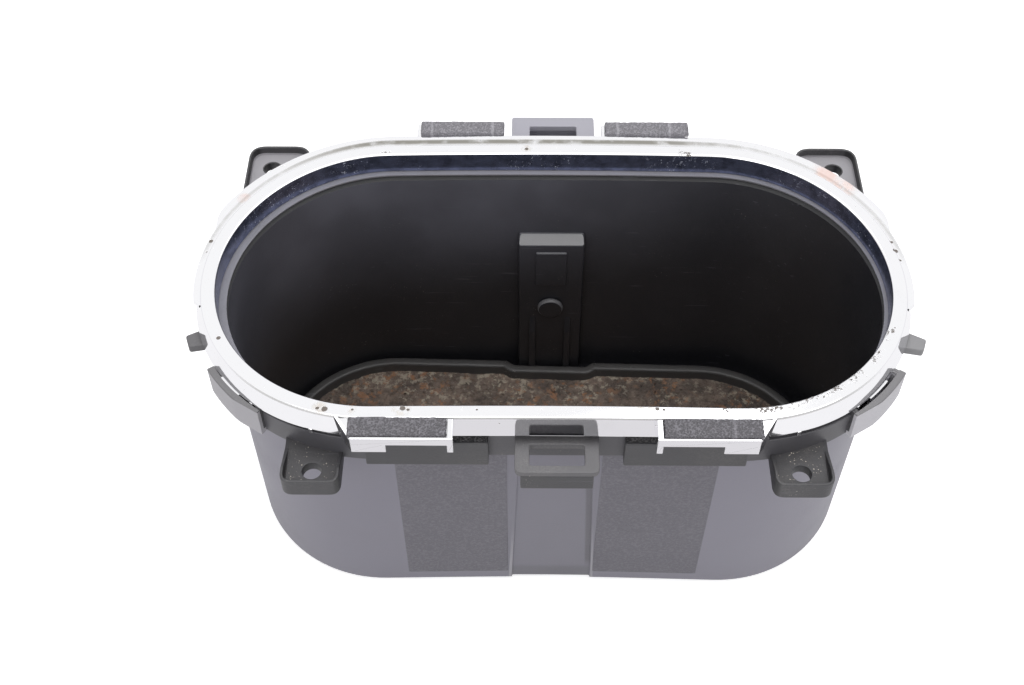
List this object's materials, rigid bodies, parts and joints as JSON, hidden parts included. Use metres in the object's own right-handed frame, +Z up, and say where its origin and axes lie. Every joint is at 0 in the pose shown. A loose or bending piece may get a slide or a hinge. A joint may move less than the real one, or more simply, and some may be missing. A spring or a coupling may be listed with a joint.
{
  "type": "car cup holder insert",
  "caption": "Twin cup holder insert for a car's centre console: a deep moulded bin with an arched plated trim ring, foam pads and a loose floor mat.",
  "frame": {"origin": "centre of the flat base that the bin stands on", "axes": "+X along the bin's long way, to the right as seen from the front; +Y to the back; +Z up, out of the mouth"},
  "size_m": [0.2036, 0.1291, 0.0983],
  "materials": {
    "black_plastic": "fine-grained satin, dusty",
    "plated_trim": "bright plating, pitted and rust-speckled",
    "foam_pad": "grainy dark grey foam, crumbling at the edges",
    "foam_strip": "ragged black foam",
    "rubber_mat": "ribbed edge, caked with brown dirt"
  },
  "bodies": {
    "root": {"bin": "black_plastic", "trim_ring": "plated_trim", "foam_front_left": "foam_pad", "foam_front_right": "foam_pad", "foam_rear_left": "foam_pad", "foam_rear_right": "foam_pad", "seal_left": "foam_strip", "seal_right": "foam_strip", "floor_mat": "rubber_mat"}
  },
  "joints": []
}
